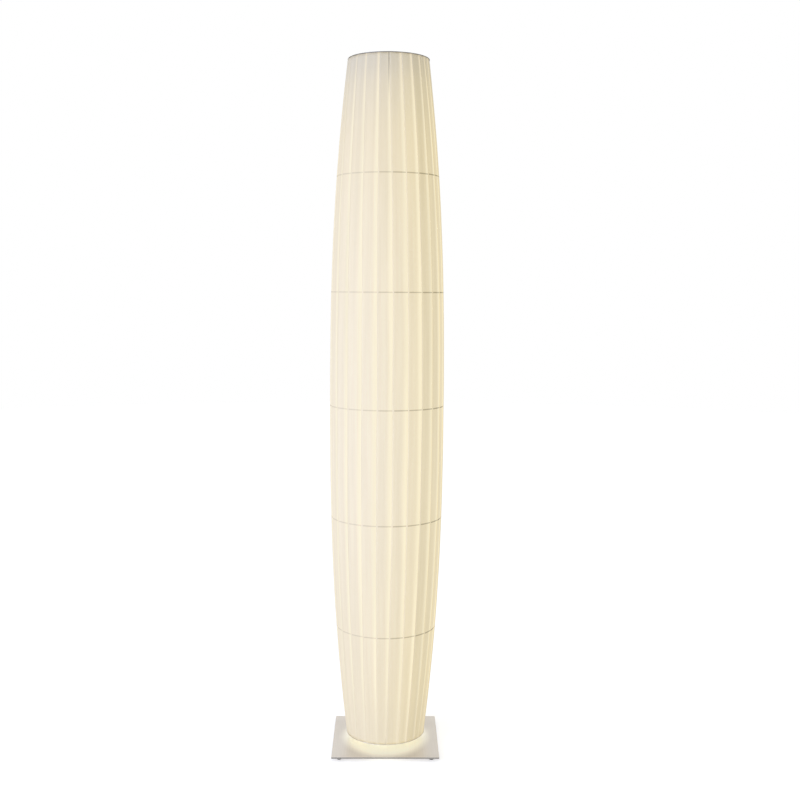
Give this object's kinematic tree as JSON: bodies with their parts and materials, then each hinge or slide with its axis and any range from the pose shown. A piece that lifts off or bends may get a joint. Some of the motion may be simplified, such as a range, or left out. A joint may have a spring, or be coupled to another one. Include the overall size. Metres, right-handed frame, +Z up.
{
  "type": "floor lamp",
  "caption": "Tall column floor lamp: a barrel shade of overlapped fabric ribbons over wire hoops stands on a square steel plate and lifts off upright lamp tubes.",
  "frame": {"origin": "on the floor under the middle of the lamp", "axes": "+Z up along the spine; -Y is the front seen in the picture, +X is its right"},
  "size_m": [0.2987, 0.2984, 1.8],
  "materials": {
    "plate_steel": "satin, fine vertical grain",
    "frame_steel": "satin nickel",
    "spine_steel": "white semi-matt powder coat",
    "zinc_steel": "bright zinc",
    "white_enamel": "white powder coat",
    "white_plastic": "moulded, matt",
    "wire_sheath": "soft sheath",
    "rubber": "matt black",
    "lamp_glass": "frosted, lit",
    "cap_aluminium": "drawn, bright",
    "ribbon_fabric": "cream translucent ribbon, fine weave"
  },
  "bodies": {
    "root": {"base_plate": "plate_steel", "foot_front_left": "rubber", "foot_front_right": "rubber", "foot_rear_left": "rubber", "foot_rear_right": "rubber", "foot_screws": "zinc_steel", "spine_flange": "spine_steel", "flange_screws": "zinc_steel", "spine_tube": "spine_steel", "spine_cap": "spine_steel", "junction_cover": "white_enamel", "cover_pillars": "zinc_steel", "cover_screws": "zinc_steel", "terminal_block": "white_plastic", "cord_inlet": "rubber", "lower_bracket": "white_enamel", "upper_bracket": "white_enamel", "holder_lower_left": "white_plastic", "holder_lower_right": "white_plastic", "holder_upper_left": "white_plastic", "holder_upper_right": "white_plastic", "grub_screws": "zinc_steel", "wiring": "wire_sheath"},
    "lamp_left": {"lamp_tube_left": "lamp_glass", "lamp_caps_left": "cap_aluminium"},
    "lamp_right": {"lamp_tube_right": "lamp_glass", "lamp_caps_right": "cap_aluminium"},
    "shade": {"top_ring": "frame_steel", "bottom_ring": "frame_steel", "hoop_1": "frame_steel", "hoop_2": "frame_steel", "hoop_3": "frame_steel", "hoop_4": "frame_steel", "hoop_5": "frame_steel", "spider": "frame_steel", "guide_ring": "frame_steel", "upright_rods": "frame_steel", "ribbon_01": "ribbon_fabric", "ribbon_02": "ribbon_fabric", "ribbon_03": "ribbon_fabric", "ribbon_04": "ribbon_fabric", "ribbon_05": "ribbon_fabric", "ribbon_06": "ribbon_fabric", "ribbon_07": "ribbon_fabric", "ribbon_08": "ribbon_fabric", "ribbon_09": "ribbon_fabric", "ribbon_10": "ribbon_fabric", "ribbon_11": "ribbon_fabric", "ribbon_12": "ribbon_fabric", "ribbon_13": "ribbon_fabric", "ribbon_14": "ribbon_fabric", "ribbon_15": "ribbon_fabric", "ribbon_16": "ribbon_fabric", "ribbon_17": "ribbon_fabric", "ribbon_18": "ribbon_fabric", "ribbon_19": "ribbon_fabric", "ribbon_20": "ribbon_fabric", "ribbon_21": "ribbon_fabric", "ribbon_22": "ribbon_fabric", "ribbon_23": "ribbon_fabric"}
  },
  "joints": [
    {"name": "shade_lift", "type": "slide", "parent": "root", "child": "shade", "axis": [0, 0, 1], "range_m": [0, 1.78]},
    {"name": "lamp_left_twist", "type": "hinge", "parent": "root", "child": "lamp_left", "pos_m": [-0.032, 0, 0.915], "axis": [0, 0, 1], "range_deg": [0, 90]},
    {"name": "lamp_right_twist", "type": "hinge", "parent": "root", "child": "lamp_right", "pos_m": [0.032, 0, 0.915], "axis": [0, 0, -1], "range_deg": [0, 90]}
  ]
}
